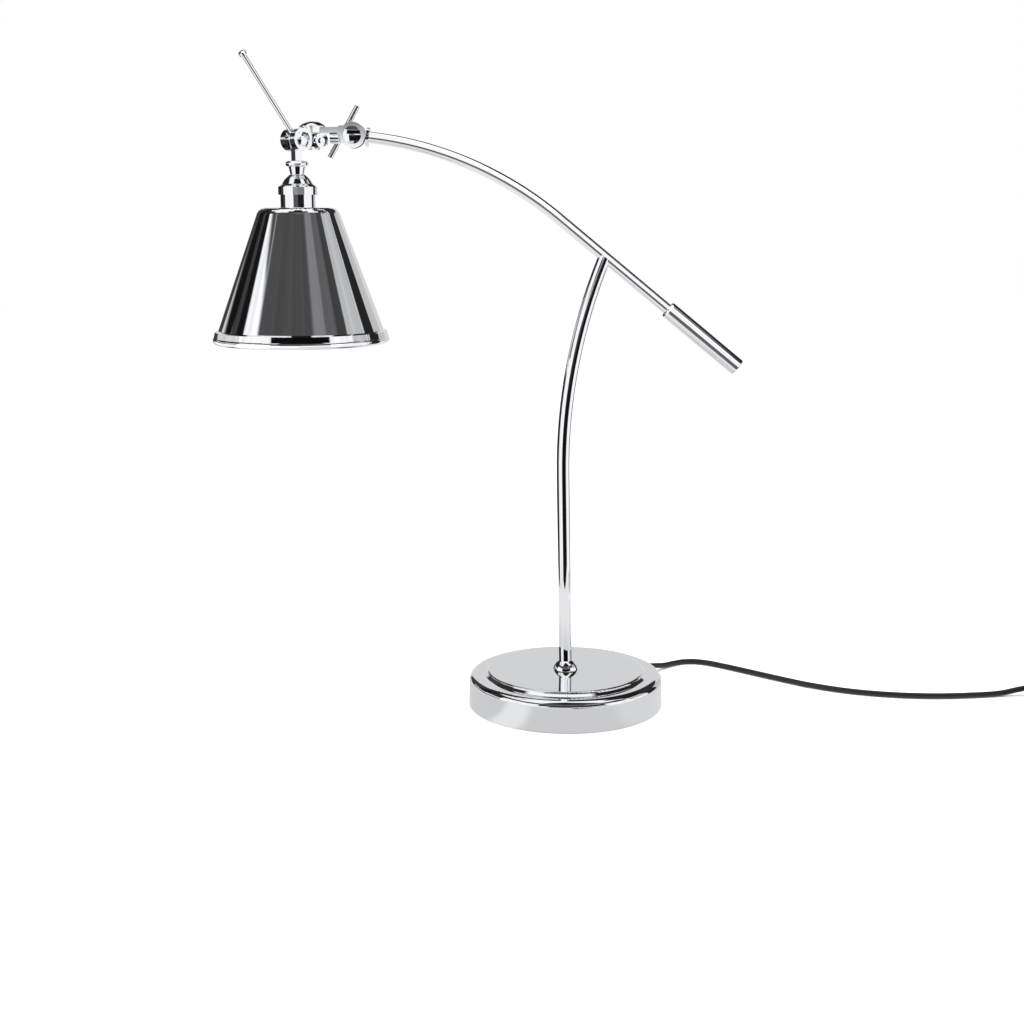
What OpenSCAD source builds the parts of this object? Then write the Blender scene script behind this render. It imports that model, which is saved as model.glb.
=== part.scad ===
// Counterbalanced desk lamp: chromed bent-tube boom arm, clamped knuckles,
// swivelling head with a handle rod, heavy round base and a loose mains cord.
// Millimetres. Z is up, the base stands on z = 0 about the origin, the head is towards -X.

/* [Base] */
// Outer radius of the base
base_r = 90; // [80:1:100]
// Height of the base's lower tier
base_edge_h = 29.4; // [27:0.2:31]
// Rounding of the base's shoulder
base_shoulder = 6.2; // [4:0.2:7]
// Radius of the raised top disc
base_top_r = 72.8; // [66:0.2:76]
// Height of the raised top disc
base_top_h = 33; // [32:0.2:36]
// How far the raised disc flares out at its foot
base_flare = 3.2; // [2:0.2:5]
// Wall of the pressed base cover
base_wall = 1.2; // [1:0.1:1.6]
// Thickness of the felt under the base
felt_t = 1.5; // [1:0.1:2]
// Height of the cover's rim above the table
rim_gap = 0.5; // [0.3:0.1:0.8]
// Height of the cast weight's outer ring
weight_ring_h = 20; // [16:0.5:21]
// Radius of the recess under the weight
recess_r = 34; // [31:1:40]
// Height of the recess ceiling
recess_h = 19; // [18:0.5:21]

/* [Stem] */
// Radius of the stem tube
stem_r = 6; // [5.5:0.1:6.5]
// Wall of the stem and arm tubes
tube_wall = 1; // [0.8:0.1:1.2]
// Lean of the straight stem away from the counterweight, in degrees
stem_lean = 1.06; // [0:0.1:2]
// Length of the straight stem above the base top
stem_straight = 185; // [170:1:200]
// Radius of the stem's bend
stem_bend_r = 500; // [450:5:560]
// Angle of the stem's bend
stem_bend = 22.9; // [21:0.1:25]
// Radius of the domed collar at the stem's foot
collar_r = 11.5; // [10.5:0.1:13]
// Height of the domed collar
collar_h = 8; // [7:0.2:9]

/* [Arm] */
// Radius of the arm tube
arm_r = 5; // [4.8:0.1:5.4]
// Slope of the arm's straight part below level, in degrees
arm_slope = 39.2; // [36:0.2:42]
// Straight tube between the stem and the arm's bend
arm_upper = 53.6; // [48:0.2:60]
// Radius of the arm's bend
arm_bend_r = 317; // [300:1:340]
// Angle of the arm's bend
arm_bend = 32.3; // [30:0.1:34]
// Straight tube from the bend to the first knuckle's axis
arm_end = 18; // [17:0.5:24]
// Distance from the stem to the counterweight
ballast_gap = 72.3; // [66:0.2:80]
// Length of the counterweight
ballast_l = 83.5; // [75:0.5:90]
// Radius of the counterweight
ballast_r = 8; // [7.4:0.1:8.6]
// Depth of the arm tube inside the counterweight
ballast_seat = 45; // [35:1:55]

/* [First knuckle and link] */
// Radius of the link's round cheeks
cheek_r = 11.1; // [10.9:0.1:11.5]
// Thickness of each link cheek
cheek_t = 4.4; // [4:0.1:5]
// Thickness of the arm's eye between the cheeks
eye_t = 6; // [5.6:0.1:6.4]
// Radius of the arm's eye
eye_r = 7.9; // [7.6:0.1:8]
// Radius of the pivot bolts' shanks
pivot_r = 3; // [2.8:0.1:3.2]
// Radial running clearance of the pivots
run_gap = 0.05; // [0.02:0.01:0.08]
// Gap left between the flat faces that rub
face_gap = 0.05; // [0.03:0.01:0.1]
// Distance from the first knuckle to the swivel axis
link_l = 35.4; // [34.6:0.2:38]
// Thickness of the link's tongue
tongue_t = 4.8; // [4.4:0.1:5]
// Height of the tongue's underside above the first knuckle
tongue_z = 1.8; // [1.6:0.1:2]
// Radius of the tongue's round end
tongue_r = 9.6; // [9.2:0.1:9.7]
// Length of the clamp's crossbar
bar_l = 51; // [46:1:52]
// Angle of the crossbar from upright, in degrees
bar_turn = 29.7; // [0:1:90]

/* [Swivel and head knuckle] */
// How far the head is swung to the front, in degrees
head_swing = 45; // [40:1:50]
// Distance from the swivel axis to the head knuckle
swivel_l = 17.8; // [17.8:0.1:19]
// Height of the head knuckle below the first knuckle
knuckle_drop = 4.4; // [4.2:0.1:4.6]
// Radius of the swivel's round cheeks
clevis_r = 9.7; // [9.3:0.1:9.8]
// Thickness of each swivel cheek
clevis_t = 7; // [6:0.1:7.2]
// Thickness of the neck's blade
blade_t = 6; // [5.6:0.1:6.2]
// Radius of the blade's round end
blade_r = 5.8; // [5.6:0.1:6]
// Radius of the domed swivel bolt head
dome_r = 11.6; // [11:0.1:12]
// Height of the domed swivel bolt head
dome_h = 5.6; // [5:0.1:6]
// Angle of the handle rod from upright, in degrees
handle_angle = 38; // [36:1:40]
// Reach of the handle rod from the head knuckle
handle_l = 89; // [80:1:94]
// Radius of the handle rod
handle_r = 2; // [1.6:0.1:2.2]

/* [Lamp head] */
// Depth of the neck's bead below the head knuckle
bead_drop = 18; // [17.5:0.1:18.5]
// Radius of the neck's bead
bead_r = 10; // [9.4:0.1:10.4]
// Height of the bell cap
bell_h = 17; // [16:0.2:18]
// Radius of the bell cap
bell_r = 17; // [16.5:0.1:18]
// Radius of the lampholder's skirt
skirt_r = 15.2; // [14.8:0.1:15.6]
// Height of the skirt between the cap and the shade
skirt_h = 11; // [9:0.2:13]
// Height of the shade
shade_h = 118.2; // [112:0.2:124]
// Radius of the shade's flat top
shade_top_r = 36.6; // [34:0.2:39]
// Radius of the shade's cone at the start of its flare
shade_cone_r = 72.9; // [70:0.1:74]
// Outer radius of the shade's rolled rim
shade_rim_r = 78; // [76:0.2:82]
// Rounding of the shade's shoulder
shade_corner = 8; // [5:0.5:10]
// Height of the steep band's upper edge above the shade's foot
band_h = 11.9; // [10:0.1:14]
// Wall of the shade
shade_wall = 1; // [0.8:0.1:1.2]

/* [Cord and switch] */
// Diameter of the mains cord
cord_d = 5.4; // [5:0.1:5.6]
// Width of the in-line switch
switch_w = 28; // [26:1:32]
// Height of the in-line switch
switch_h = 17; // [16:0.5:19]

/* [Hidden] */
$fn = 96;
small_fn = 48;
eps = 0.01;
block = 40;
seam = 0.02;
lap_l = 0.4;

chrome = "#c9ccd0";
steel = "#a8abb0";
brass = "#c8a657";
iron = "#4b4b4d";
black = "#161616";
white = "#f2f2f0";

// --- base, from the table up
cover_in = base_wall;
weight_r = base_r - base_wall - 1.3;
boss_r = 31;
boss_top = base_top_h - base_wall;
stud_r = 4.7;
stud_bore = 3.2;
stud_hole = stud_r + 0.3;
washer_t = 1.6;
nut_t = 6;
stud_foot = recess_h - washer_t - nut_t - 1.5;
stud_top = base_top_h + 14;
cord_r = cord_d / 2;
flex_r = 2.2;
sleeve_r = flex_r + 0.4;
exit_turn = 45;
exit_z = 9;
bush_r = 4.2;
channel_w = 9;
channel_h = 13.2;
nut_pocket = 15;
block_x = 17;
block_l = 15;
block_w = 18;
block_h = 11;
flex_bend = 6.5;
flex_low = stud_foot - flex_bend;

// --- stem and arm line in the XZ plane
tube_foot = base_top_h + 1.5;
stem_start = [-stem_straight * sin(stem_lean), base_top_h + stem_straight * cos(stem_lean)];
stem_top_angle = stem_bend - stem_lean;
stem_centre = stem_start + stem_bend_r * [cos(stem_lean), sin(stem_lean)];
join = stem_centre + stem_bend_r * [-cos(stem_top_angle), sin(stem_top_angle)];
end_slope = arm_slope - arm_bend;
bend_start = join + arm_upper * [-cos(arm_slope), sin(arm_slope)];
arm_centre = bend_start - arm_bend_r * [sin(arm_slope), cos(arm_slope)];
bend_end = arm_centre + arm_bend_r * [sin(end_slope), cos(end_slope)];
knee = bend_end + arm_end * [-cos(end_slope), sin(end_slope)];
ferrule_in = 11.9;
ferrule_out = 14.2;
ferrule_r = 8.2;
spigot_l = 10;
seat_end = ballast_gap + ballast_seat;
ballast_screw_r = 2;

// --- first knuckle, in its own frame with x towards the arm
cheek_in = eye_t / 2 + 0.5;
cheek_out = cheek_in + cheek_t;
bolt_head_r = 7.6;
bolt_head_h = 3.2;
clamp_x = -9.7;
clamp_z = 3.7;
clamp_r = 2;
clamp_lug = 4.3;
bar_r = 2.4;
bar_y = cheek_out + 7.6;
clamp_head_r = 4.2;
clamp_head_end = bar_y + 3.6;
root_in = -12.4;
root_out = -20;
root_boss_r = 5.2;
root_boss_z = -2.1;
bar_half = 6;

// --- swivel axis and head knuckle
swivel = [knee[0] - link_l, knee[1]];
spindle_r = 3.5;
tongue_top = knee[1] + tongue_z + tongue_t;
knuckle_z = knee[1] - knuckle_drop;
hub_r = 7.4;
hub_top = knee[1] + tongue_z - 0.6;
hub_foot = knuckle_z - 5.6;
clevis_in = blade_t / 2 + 0.3;
clevis_out = clevis_in + clevis_t;
lock_r = 6.6;
lock_drop = 0.7;
lock_shank = 2.5;
lock_in = 9.4;
lock_out = 13.4;
knuckle_x = swivel[0] - swivel_l;

// --- lamp head, depths below the head knuckle
bead_h = 5;
cup_h = 6.8;
cap_top = knuckle_z - bead_drop - bead_h - cup_h;
cap_foot = cap_top - bell_h;
shade_top = cap_foot - skirt_h;
shade_foot = shade_top - shade_h;
hem_r = 3.6;
band_step = 2;
band_lean = 0.5;
thread_r = 13.6;
holder_depth = 17;
holder_foot = shade_top - holder_depth;
shade_hole = thread_r + 0.2;
ring_h = 5;
ring_r = 18;
bulb_r = 22.5;
bulb_neck = 7.5;
glass_t = 1;
bulb_cap_r = 6.9;
bulb_seat = holder_foot - 2;
bulb_centre = bulb_seat - 33;

// --- cord laid on the table; x, y and z of the points that it runs through
lead_route = [
    [79, 79, 9], [84, 84, 9], [94, 95, 6.5], [104, 106, 3.6], [115, 115.5, 2.8],
    [126, 121, 2.8], [138, 121, 2.8], [150, 116, 2.8], [162, 107, 2.8], [174, 97, 2.8],
    [185, 87.5, 2.8], [196, 78, 2.8], [208, 67.5, 2.8], [221, 56.5, 2.8], [234, 46, 2.8],
    [247, 37.5, 2.8], [262, 29, 2.8], [278, 22, 2.8], [295, 16.5, 2.8], [313, 12.5, 2.8],
    [331, 10, 2.8], [350, 9, 2.8], [368, 9.5, 2.8], [386, 11.5, 2.8], [403, 14, 2.8],
    [418, 16.5, 3.6], [431, 18, 6], [442, 18, 8], [450, 18, 8]
];
tail_route = [
    [512, 18, 8], [519, 17.9, 7.7], [528, 15.9, 5.7], [536, 11.2, 3.8], [541.8, 3.8, 2.9],
    [545, -5.4, 2.8], [545.8, -16, 2.8], [544.6, -27.5, 2.8], [542, -38, 2.8]
];
end_route = [
    [516.8, -84.4, 7.6], [508.4, -86, 7.1], [499, -86.3, 6.9], [490, -85, 6.9], [481, -83.3, 7],
    [474, -82.3, 7], [468, -82, 7]
];
cord_sides = 10;
coil_at = [505, -45];
coil_in = 24;
coil_out = 40.2;
coil_h = 10.8;
bush_end = norm([lead_route[0][0], lead_route[0][1]]);
switch_a = lead_route[len(lead_route) - 1];
switch_b = tail_route[0];
switch_l = switch_b[0] - switch_a[0];
switch_mid = [(switch_a[0] + switch_b[0]) / 2, switch_a[1]];
split_z = switch_a[2];
case_wall = 1.8;
rocker_l = 20;
rocker_w = 11;
rocker_gap = 0.4;
rocker_pin = 1.2;
rocker_tilt = 7;
rocker_z = switch_h - 2.2;
rocker_r = 4.4;
plug_at = end_route[len(end_route) - 1];
plug_l = 35;
plug_w = 25;
plug_t = 13.6;
pin_r = 2;
pin_l = 19;
pin_gap = 19;

// --- frames
module at_exit() {
    rotate([0, 0, exit_turn]) children();
}

module at_join() {
    translate([join[0], 0, join[1]]) rotate([0, arm_slope, 0]) children();
}

module at_knee() {
    translate([knee[0], 0, knee[1]]) children();
}

module at_arm_end() {
    at_knee() rotate([0, end_slope, 0]) children();
}

module at_swivel() {
    translate([swivel[0], 0, 0]) rotate([0, 0, head_swing]) children();
}

module at_head() {
    at_swivel() translate([-swivel_l, 0, knuckle_z]) children();
}

module at_head_axis() {
    at_swivel() translate([-swivel_l, 0, 0]) children();
}

// --- plain shapes along an axis, from a to b
module bar_x(r, a, b) {
    translate([a, 0, 0]) rotate([0, 90, 0]) cylinder(r = r, h = b - a);
}

module bar_along_y(r, a, b) {
    translate([0, b, 0]) rotate([90, 0, 0]) cylinder(r = r, h = b - a);
}

module bar_z(r, a, b) {
    translate([0, 0, a]) cylinder(r = r, h = b - a);
}

module tube_z(r, bore, a, b) {
    translate([0, 0, a]) linear_extrude(b - a) difference() {
        circle(r = r);
        circle(r = bore);
    }
}

// Spherical cap of base radius r and height h, standing on z = 0
module cap(r, h) {
    ball = (r * r + h * h) / (2 * h);
    intersection() {
        translate([0, 0, h - ball]) sphere(r = ball);
        cylinder(r = r + 1, h = h + 1);
    }
}

module hexagon(across, h) {
    cylinder(r = across / 2 / cos(30), h = h, $fn = 6);
}

// Bent tube or rod about a centre in the XZ plane; angles turn from +X towards +Z.
// It is a hair slimmer than the straights and laps into them, so that they join.
module bend(centre, bend_r, from, sweep, r, bore = 0) {
    lap = lap_l / bend_r * 180 / PI;
    translate([centre[0], 0, centre[1]]) rotate([90, 0, 0]) rotate([0, 0, from - lap])
        rotate_extrude(angle = sweep + 2 * lap) translate([bend_r, 0]) difference() {
            circle(r = r - seam, $fn = small_fn);
            if (bore > 0) circle(r = bore - seam, $fn = small_fn);
        }
}

// Straight tube or rod along z
module straight(r, bore, a, b) {
    translate([0, 0, a]) linear_extrude(b - a) difference() {
        circle(r = r, $fn = small_fn);
        if (bore > 0) circle(r = bore, $fn = small_fn);
    }
}

// Cuts a tube's end to the saddle of the arm tube
module saddle(r) {
    difference() {
        children();
        at_join() {
            bar_x(r, -block, block);
            translate([-block, -block, 0]) cube(2 * block);
        }
    }
}

// Half outline of a disc with a rounded upper edge
module round_edge(r, top, edge) {
    square([r - edge, top]);
    square([r, top - edge]);
    translate([r - edge, top - edge]) circle(r = edge, $fn = small_fn);
}

// --- base
module base_outline(inset) {
    round_edge(base_r - inset, base_edge_h - inset, base_shoulder - inset);
    round_edge(base_top_r - inset, base_top_h - inset, 1.6 - inset);
    polygon([
        [0, 1], [base_top_r + base_flare - inset, 1],
        [base_top_r + base_flare - inset, base_edge_h - inset],
        [base_top_r + 0.25 - inset, base_top_h - 2 - inset], [0, base_top_h - 2 - inset]
    ]);
}

module base_cover() {
    color(chrome) difference() {
        rotate_extrude() difference() {
            base_outline(0);
            base_outline(cover_in);
            translate([-1, -1]) square([base_r + 2, 1 + rim_gap]);
        }
        bar_z(stud_hole, base_top_h - 4, base_top_h + 1);
        at_exit() translate([0, 0, exit_z]) bar_x(bush_r, base_r - 6, base_r + 2);
    }
}

module base_weight() {
    color(iron) difference() {
        union() {
            bar_z(weight_r, felt_t, weight_ring_h);
            bar_z(boss_r, felt_t + 1, boss_top);
        }
        bar_z(recess_r, 0, recess_h > weight_ring_h ? weight_ring_h - 4 : recess_h - 3);
        bar_z(boss_r - 5, 0, recess_h);
        bar_z(stud_hole, recess_h - 1, boss_top + 1);
        at_exit() {
            translate([recess_r - 6, -channel_w / 2, 0]) cube([base_r, channel_w, channel_h]);
            translate([base_r - 12, -nut_pocket / 2, 0]) cube([20, nut_pocket, exit_z + nut_pocket / 2]);
        }
    }
}

module base_felt() {
    color("#2b3a2e") bar_z(weight_r, 0, felt_t);
}

module stem_stud() {
    color(steel) tube_z(stud_r, stud_bore, stud_foot, stud_top);
}

module stud_washer() {
    color(steel) tube_z(12, stud_r + 0.2, recess_h - washer_t, recess_h);
}

module stud_nut() {
    color(brass) difference() {
        translate([0, 0, recess_h - washer_t - nut_t]) hexagon(17, nut_t);
        bar_z(stud_r, 0, recess_h);
    }
}

module stem_collar() {
    drop = (stem_r * stem_r + collar_h * collar_h - collar_r * collar_r) / (2 * collar_h);
    color(chrome) difference() {
        intersection() {
            translate([0, 0, base_top_h + drop]) sphere(r = norm([collar_r, drop]));
            bar_z(collar_r + 1, base_top_h, base_top_h + collar_h);
        }
        bar_z(stud_r, base_top_h - 1, base_top_h + collar_h + 1);
        stem_line() bar_z(stem_r, tube_foot - base_top_h, collar_h + 3);
    }
}

// Frame of the straight stem: z runs along the tube from the base top
module stem_line() {
    translate([0, 0, base_top_h]) rotate([0, -stem_lean, 0]) children();
}

module stem_path(r, bore, foot) {
    reach = 0.5;
    stem_line() straight(r, bore, foot, stem_straight);
    bend(stem_centre, stem_bend_r, 180 - stem_top_angle - reach, stem_bend + reach, r, bore);
}

module stem_tube() {
    color(chrome) saddle(arm_r) stem_path(stem_r, stem_r - tube_wall, tube_foot - base_top_h);
}

// --- arm
module arm_path(r, bore, low, high) {
    at_join() rotate([0, 90, 0]) straight(r, bore, -arm_upper, low);
    bend(arm_centre, arm_bend_r, 90 - arm_slope, arm_bend, r, bore);
    at_arm_end() rotate([0, 90, 0]) straight(r, bore, high, arm_end);
}

module arm_tube() {
    color(chrome) difference() {
        arm_path(arm_r, arm_r - tube_wall, seat_end, ferrule_out);
        at_join() bar_z(flex_r + 0.6, -arm_r - 1, 0);
    }
}

module counterweight() {
    color(chrome) at_join() rotate([0, 90, 0]) difference() {
        rotate_extrude() difference() {
            union() {
                translate([0, ballast_gap + 3]) square([ballast_r, ballast_l - 4]);
                translate([0, ballast_gap]) square([ballast_r - 3, ballast_l]);
                translate([ballast_r - 3, ballast_gap + 3]) circle(r = 3, $fn = small_fn);
                translate([ballast_r - 1, ballast_gap + ballast_l - 1]) circle(r = 1, $fn = small_fn);
                translate([0, ballast_gap + 3]) square([ballast_r - 1, ballast_l - 3]);
            }
            translate([-ballast_r, 0]) square([ballast_r, ballast_gap + ballast_l + 1]);
        }
        bar_z(arm_r, ballast_gap - 1, seat_end);
        translate([0, 0, ballast_gap + ballast_seat / 2]) bar_x(ballast_screw_r, 0, ballast_r + 1);
    }
}

module ballast_screw() {
    color(steel) at_join() rotate([0, 90, 0])
        translate([0, 0, ballast_gap + ballast_seat / 2]) difference() {
            bar_x(ballast_screw_r, arm_r, ballast_r - 0.4);
            translate([ballast_r - 2, 0, 0]) rotate([0, 90, 0]) hexagon(2, 3);
        }
}

module arm_knuckle() {
    color(chrome) at_arm_end() difference() {
        union() {
            bar_along_y(eye_r, -eye_t / 2, eye_t / 2);
            translate([0, -eye_t / 2, -5.4]) cube([ferrule_in + 0.5, eye_t, 10.8]);
            bar_x(ferrule_r, ferrule_in, ferrule_out);
            bar_x(arm_r - tube_wall - 0.1, ferrule_out - 1, ferrule_out + spigot_l);
        }
        bar_along_y(pivot_r + run_gap, -eye_t, eye_t);
        bar_x(flex_r + 0.2, ferrule_out, ferrule_out + spigot_l + 1);
    }
}

// --- inner lead and mains terminals
module flex_stem() {
    color(white) difference() {
        union() {
            stem_path(flex_r, 0, 1);
            at_exit() {
                bar_z(sleeve_r, stud_foot, base_top_h + 3);
                bend([flex_bend, stud_foot], flex_bend, 180, 90, flex_r);
                translate([0, 0, flex_low]) bar_x(flex_r, flex_bend, block_x);
            }
        }
        at_join() translate([-block, -block, -flex_r]) cube(2 * block);
    }
}

module flex_arm() {
    color(white) arm_path(flex_r, 0, flex_r, ferrule_out);
}

module terminal_block() {
    color(white) at_exit() difference() {
        translate([block_x, -block_w / 2, felt_t]) cube([block_l, block_w, block_h]);
        for (side = [-1, 1])
            translate([block_x + block_l / 2, side * block_w / 4, 0])
                bar_z(1.6, felt_t + 4, felt_t + block_h + 1);
    }
}

module terminal_screws() {
    color(brass) at_exit() for (side = [-1, 1])
        translate([block_x + block_l / 2, side * block_w / 4, 0])
            bar_z(1.6, felt_t + 4, felt_t + block_h - 1);
}

module cord_inner() {
    color(black) at_exit() translate([0, 0, exit_z])
        bar_x(cord_r, block_x + block_l, base_r - 10);
}

module cord_bush() {
    taper_l = bush_end - base_r;
    color(black) at_exit() translate([0, 0, exit_z]) rotate([0, 90, 0]) {
        bar_z(bush_r, base_r - 10, base_r + 1);
        bar_z(bush_r + 1.6, base_r, base_r + 2);
        translate([0, 0, base_r + 1]) cylinder(r1 = bush_r - 0.2, r2 = cord_r + 0.3, h = taper_l - 1);
    }
}

module bush_nut() {
    color(black) at_exit() translate([0, 0, exit_z]) rotate([0, 90, 0]) difference() {
        translate([0, 0, base_r - 7]) hexagon(12, 3);
        bar_z(bush_r, base_r - 12, base_r);
    }
}

// --- link between the first knuckle and the swivel
module link_fork() {
    color(chrome) at_knee() difference() {
        union() {
            for (side = [-1, 1]) {
                a = side > 0 ? cheek_in : -cheek_out;
                bar_along_y(cheek_r, a, a + cheek_t);
                translate([clamp_x, 0, clamp_z]) bar_along_y(clamp_lug, a, a + cheek_t);
                translate([root_out + 1, a, tongue_z]) cube([-root_out, cheek_t, tongue_t]);
            }
            translate([root_out + 1, -cheek_out, tongue_z])
                cube([root_in - root_out, 2 * cheek_out, tongue_t]);
            translate([-link_l, -bar_half, tongue_z])
                cube([link_l + root_in, 2 * bar_half, tongue_t]);
            translate([0, 0, root_boss_z]) bar_x(root_boss_r, root_out, root_in);
            translate([-link_l, 0, tongue_z]) cylinder(r = tongue_r, h = tongue_t);
        }
        bar_along_y(pivot_r + run_gap, -20, 20);
        translate([clamp_x, 0, clamp_z]) bar_along_y(clamp_r + run_gap, -20, 20);
        translate([-link_l, 0, 0]) bar_z(spindle_r, -5, 20);
        translate([root_in, -cheek_in, -20]) cube([40, 2 * cheek_in, 40]);
    }
}

module tilt_bolt() {
    color(chrome) at_knee() {
        bar_along_y(pivot_r, -cheek_out - 1, cheek_out + 5);
        translate([0, -cheek_out - bolt_head_h / 2, 0]) {
            bar_along_y(bolt_head_r, 0, bolt_head_h / 2);
            rotate([90, 0, 0]) cap(bolt_head_r, bolt_head_h / 2);
        }
    }
}

module tilt_nut() {
    color(chrome) at_knee() translate([0, cheek_out + 4, 0]) rotate([90, 0, 0]) difference() {
        hexagon(10, 4);
        bar_z(pivot_r, -1, 5);
    }
}

module tilt_washers() {
    color(steel) at_knee() for (side = [-1, 1])
        translate([0, side > 0 ? cheek_in : -eye_t / 2 - face_gap, 0]) rotate([90, 0, 0])
            tube_z(eye_r - 0.5, pivot_r + run_gap, 0, cheek_in - eye_t / 2 - face_gap);
}

module clamp_screw() {
    color(chrome) at_knee() translate([clamp_x, 0, clamp_z]) difference() {
        union() {
            bar_along_y(clamp_r, -cheek_out, cheek_out + 1);
            bar_along_y(clamp_head_r, cheek_out + face_gap, clamp_head_end);
        }
        translate([0, bar_y, 0]) rotate([0, bar_turn, 0]) bar_z(bar_r, -10, 10);
    }
}

module clamp_bar() {
    color(chrome) at_knee() translate([clamp_x, bar_y, clamp_z]) rotate([0, bar_turn, 0])
        bar_z(bar_r, -bar_l / 2, bar_l / 2);
}

module swivel_bolt() {
    color(chrome) translate([swivel[0], 0, 0]) {
        bar_z(spindle_r, hub_foot - 1, tongue_top + 1);
        translate([0, 0, tongue_top]) {
            cylinder(r = dome_r, h = 1);
            translate([0, 0, 1]) cap(dome_r, dome_h - 1);
        }
    }
}

module swivel_nut() {
    color(chrome) translate([swivel[0], 0, hub_foot - 2.6]) difference() {
        cylinder(r = 6, h = 2.6 - face_gap);
        bar_z(spindle_r, 1, 5);
    }
}

module swivel_washer() {
    color(steel) translate([swivel[0], 0, 0])
        tube_z(hub_r - 0.4, spindle_r + run_gap, hub_top, knee[1] + tongue_z - face_gap);
}

// --- swivel with the head knuckle's two round cheeks
module swivel_body() {
    color(chrome) at_swivel() difference() {
        union() {
            bar_z(hub_r, hub_foot, hub_top);
            translate([-swivel_l, 0, knuckle_z]) bar_along_y(clevis_r, -clevis_out, clevis_out);
            translate([-swivel_l, -hub_r, hub_foot]) cube([swivel_l - 2, 2 * hub_r, hub_top - hub_foot]);
            translate([0, 0, knuckle_z - lock_drop]) bar_along_y(4, -lock_in, 0);
        }
        bar_z(spindle_r + run_gap, hub_foot - 1, hub_top + 1);
        translate([-swivel_l, 0, knuckle_z]) {
            bar_along_y(blade_r + 0.9, -clevis_in, clevis_in);
            bar_along_y(pivot_r + run_gap, -20, 20);
            translate([-20, -clevis_in, -30]) cube([20 + blade_r + 0.9, 2 * clevis_in, 60]);
            bar_along_y(7.2, -clevis_out - 1, -clevis_out + 1);
        }
        translate([-swivel_l, -clevis_in, knuckle_z]) rotate([0, 50, 0])
            cube([14, 2 * clevis_in, 7]);
        translate([0, 0, knuckle_z - lock_drop]) bar_along_y(lock_shank, -20, 0);
    }
}

module lock_screw() {
    color(chrome) at_swivel() translate([0, 0, knuckle_z - lock_drop]) {
        bar_along_y(lock_shank, -lock_out, -spindle_r - run_gap);
        difference() {
            bar_along_y(lock_r, -lock_out, -lock_in);
            bar_along_y(lock_r - 1.6, -lock_out - 1, -lock_out + 1.2);
        }
        bar_along_y(2.6, -lock_out - 0.4, -lock_out + 1.3);
    }
}

module blade_outline() {
    waist = 3.75;
    circle(r = blade_r);
    polygon([
        [-blade_r + 0.1, 1], [blade_r - 0.1, 1], [blade_r - 0.3, -2], [waist, -10.5],
        [waist, -bead_drop - 1], [-waist, -bead_drop - 1], [-waist, -10.5], [-blade_r + 0.3, -2]
    ]);
}

module shade_neck() {
    color(chrome) at_head() difference() {
        union() {
            rotate([90, 0, 0]) translate([0, 0, -blade_t / 2]) linear_extrude(blade_t) blade_outline();
            translate([0, 0, -bead_drop - bead_h]) rotate_extrude() {
                square([bead_r - bead_h / 2, bead_h]);
                translate([bead_r - bead_h / 2, bead_h / 2]) circle(r = bead_h / 2, $fn = small_fn);
            }
            translate([0, 0, -bead_drop - bead_h - cup_h]) cylinder(r1 = 5.9, r2 = 7.6, h = cup_h + 1);
        }
        bar_along_y(pivot_r + run_gap, -10, 10);
        rotate([0, -handle_angle, 0]) bar_z(handle_r, pivot_r + 1.4, 10);
        bar_z(2.6, -bead_drop - bead_h - cup_h - 1, -bead_drop);
    }
}

module knuckle_bolt() {
    color(chrome) at_head() {
        bar_along_y(pivot_r, -clevis_out, clevis_out + 4);
        translate([0, -clevis_out + 1, 0]) rotate([90, 0, 0]) {
            cylinder(r = 6.2, h = 1);
            translate([0, 0, 1]) cap(6.2, 1.8);
        }
    }
}

module knuckle_nut() {
    color(chrome) at_head() translate([0, clevis_out + 3.6, 0]) rotate([90, 0, 0]) difference() {
        hexagon(11, 3.6);
        bar_z(pivot_r, -1, 5);
    }
}

module knuckle_washers() {
    color(steel) at_head() for (side = [-1, 1])
        translate([0, side > 0 ? clevis_in : -blade_t / 2 - face_gap, 0]) rotate([90, 0, 0])
            tube_z(blade_r - 0.3, pivot_r + run_gap, 0, clevis_in - blade_t / 2 - face_gap);
}

module handle_rod() {
    color(chrome) at_head() rotate([0, -handle_angle, 0]) bar_z(handle_r, pivot_r + 1.4, handle_l - 1);
}

module handle_cap() {
    color(chrome) at_head() rotate([0, -handle_angle, 0]) difference() {
        union() {
            bar_z(3.3, handle_l - 4, handle_l - 1);
            translate([0, 0, handle_l - 1]) cap(3.3, 1);
        }
        bar_z(handle_r, handle_l - 5, handle_l - 1);
    }
}

// --- lampholder, shade and bulb, about the head's upright axis
module bell_outline(inset) {
    polygon([
        [0, 0], [bell_r - inset, 0], [bell_r - inset, 6.6], [bell_r - 0.7 - inset, 7.4],
        [bell_r - 3.4 - inset, 9.2], [bell_r - 4.6 - inset, 11.2], [bell_r - 6 - inset, 13.4],
        [bell_r - 8.2 - inset, bell_h - 1.6 - inset / 2], [bell_r - 10 - inset, bell_h - inset],
        [0, bell_h - inset]
    ]);
}

module holder_cap() {
    color(chrome) at_head_axis() translate([0, 0, cap_foot]) rotate_extrude() difference() {
        bell_outline(0);
        translate([0, -eps]) bell_outline(1.2);
        square([2.6, bell_h + 1]);
    }
}

module holder_skirt() {
    color(chrome) at_head_axis() tube_z(skirt_r, skirt_r - 1, shade_top, cap_foot + 5);
}

module holder_insert() {
    color(white) at_head_axis() difference() {
        union() {
            bar_z(skirt_r - 1, shade_top, cap_foot + 6);
            bar_z(thread_r, holder_foot, shade_top + 1);
        }
        bar_z(bulb_cap_r + 0.3, holder_foot - 1, cap_foot + 0.5);
        bar_z(1.5, cap_foot, cap_foot + 7);
    }
}

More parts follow.
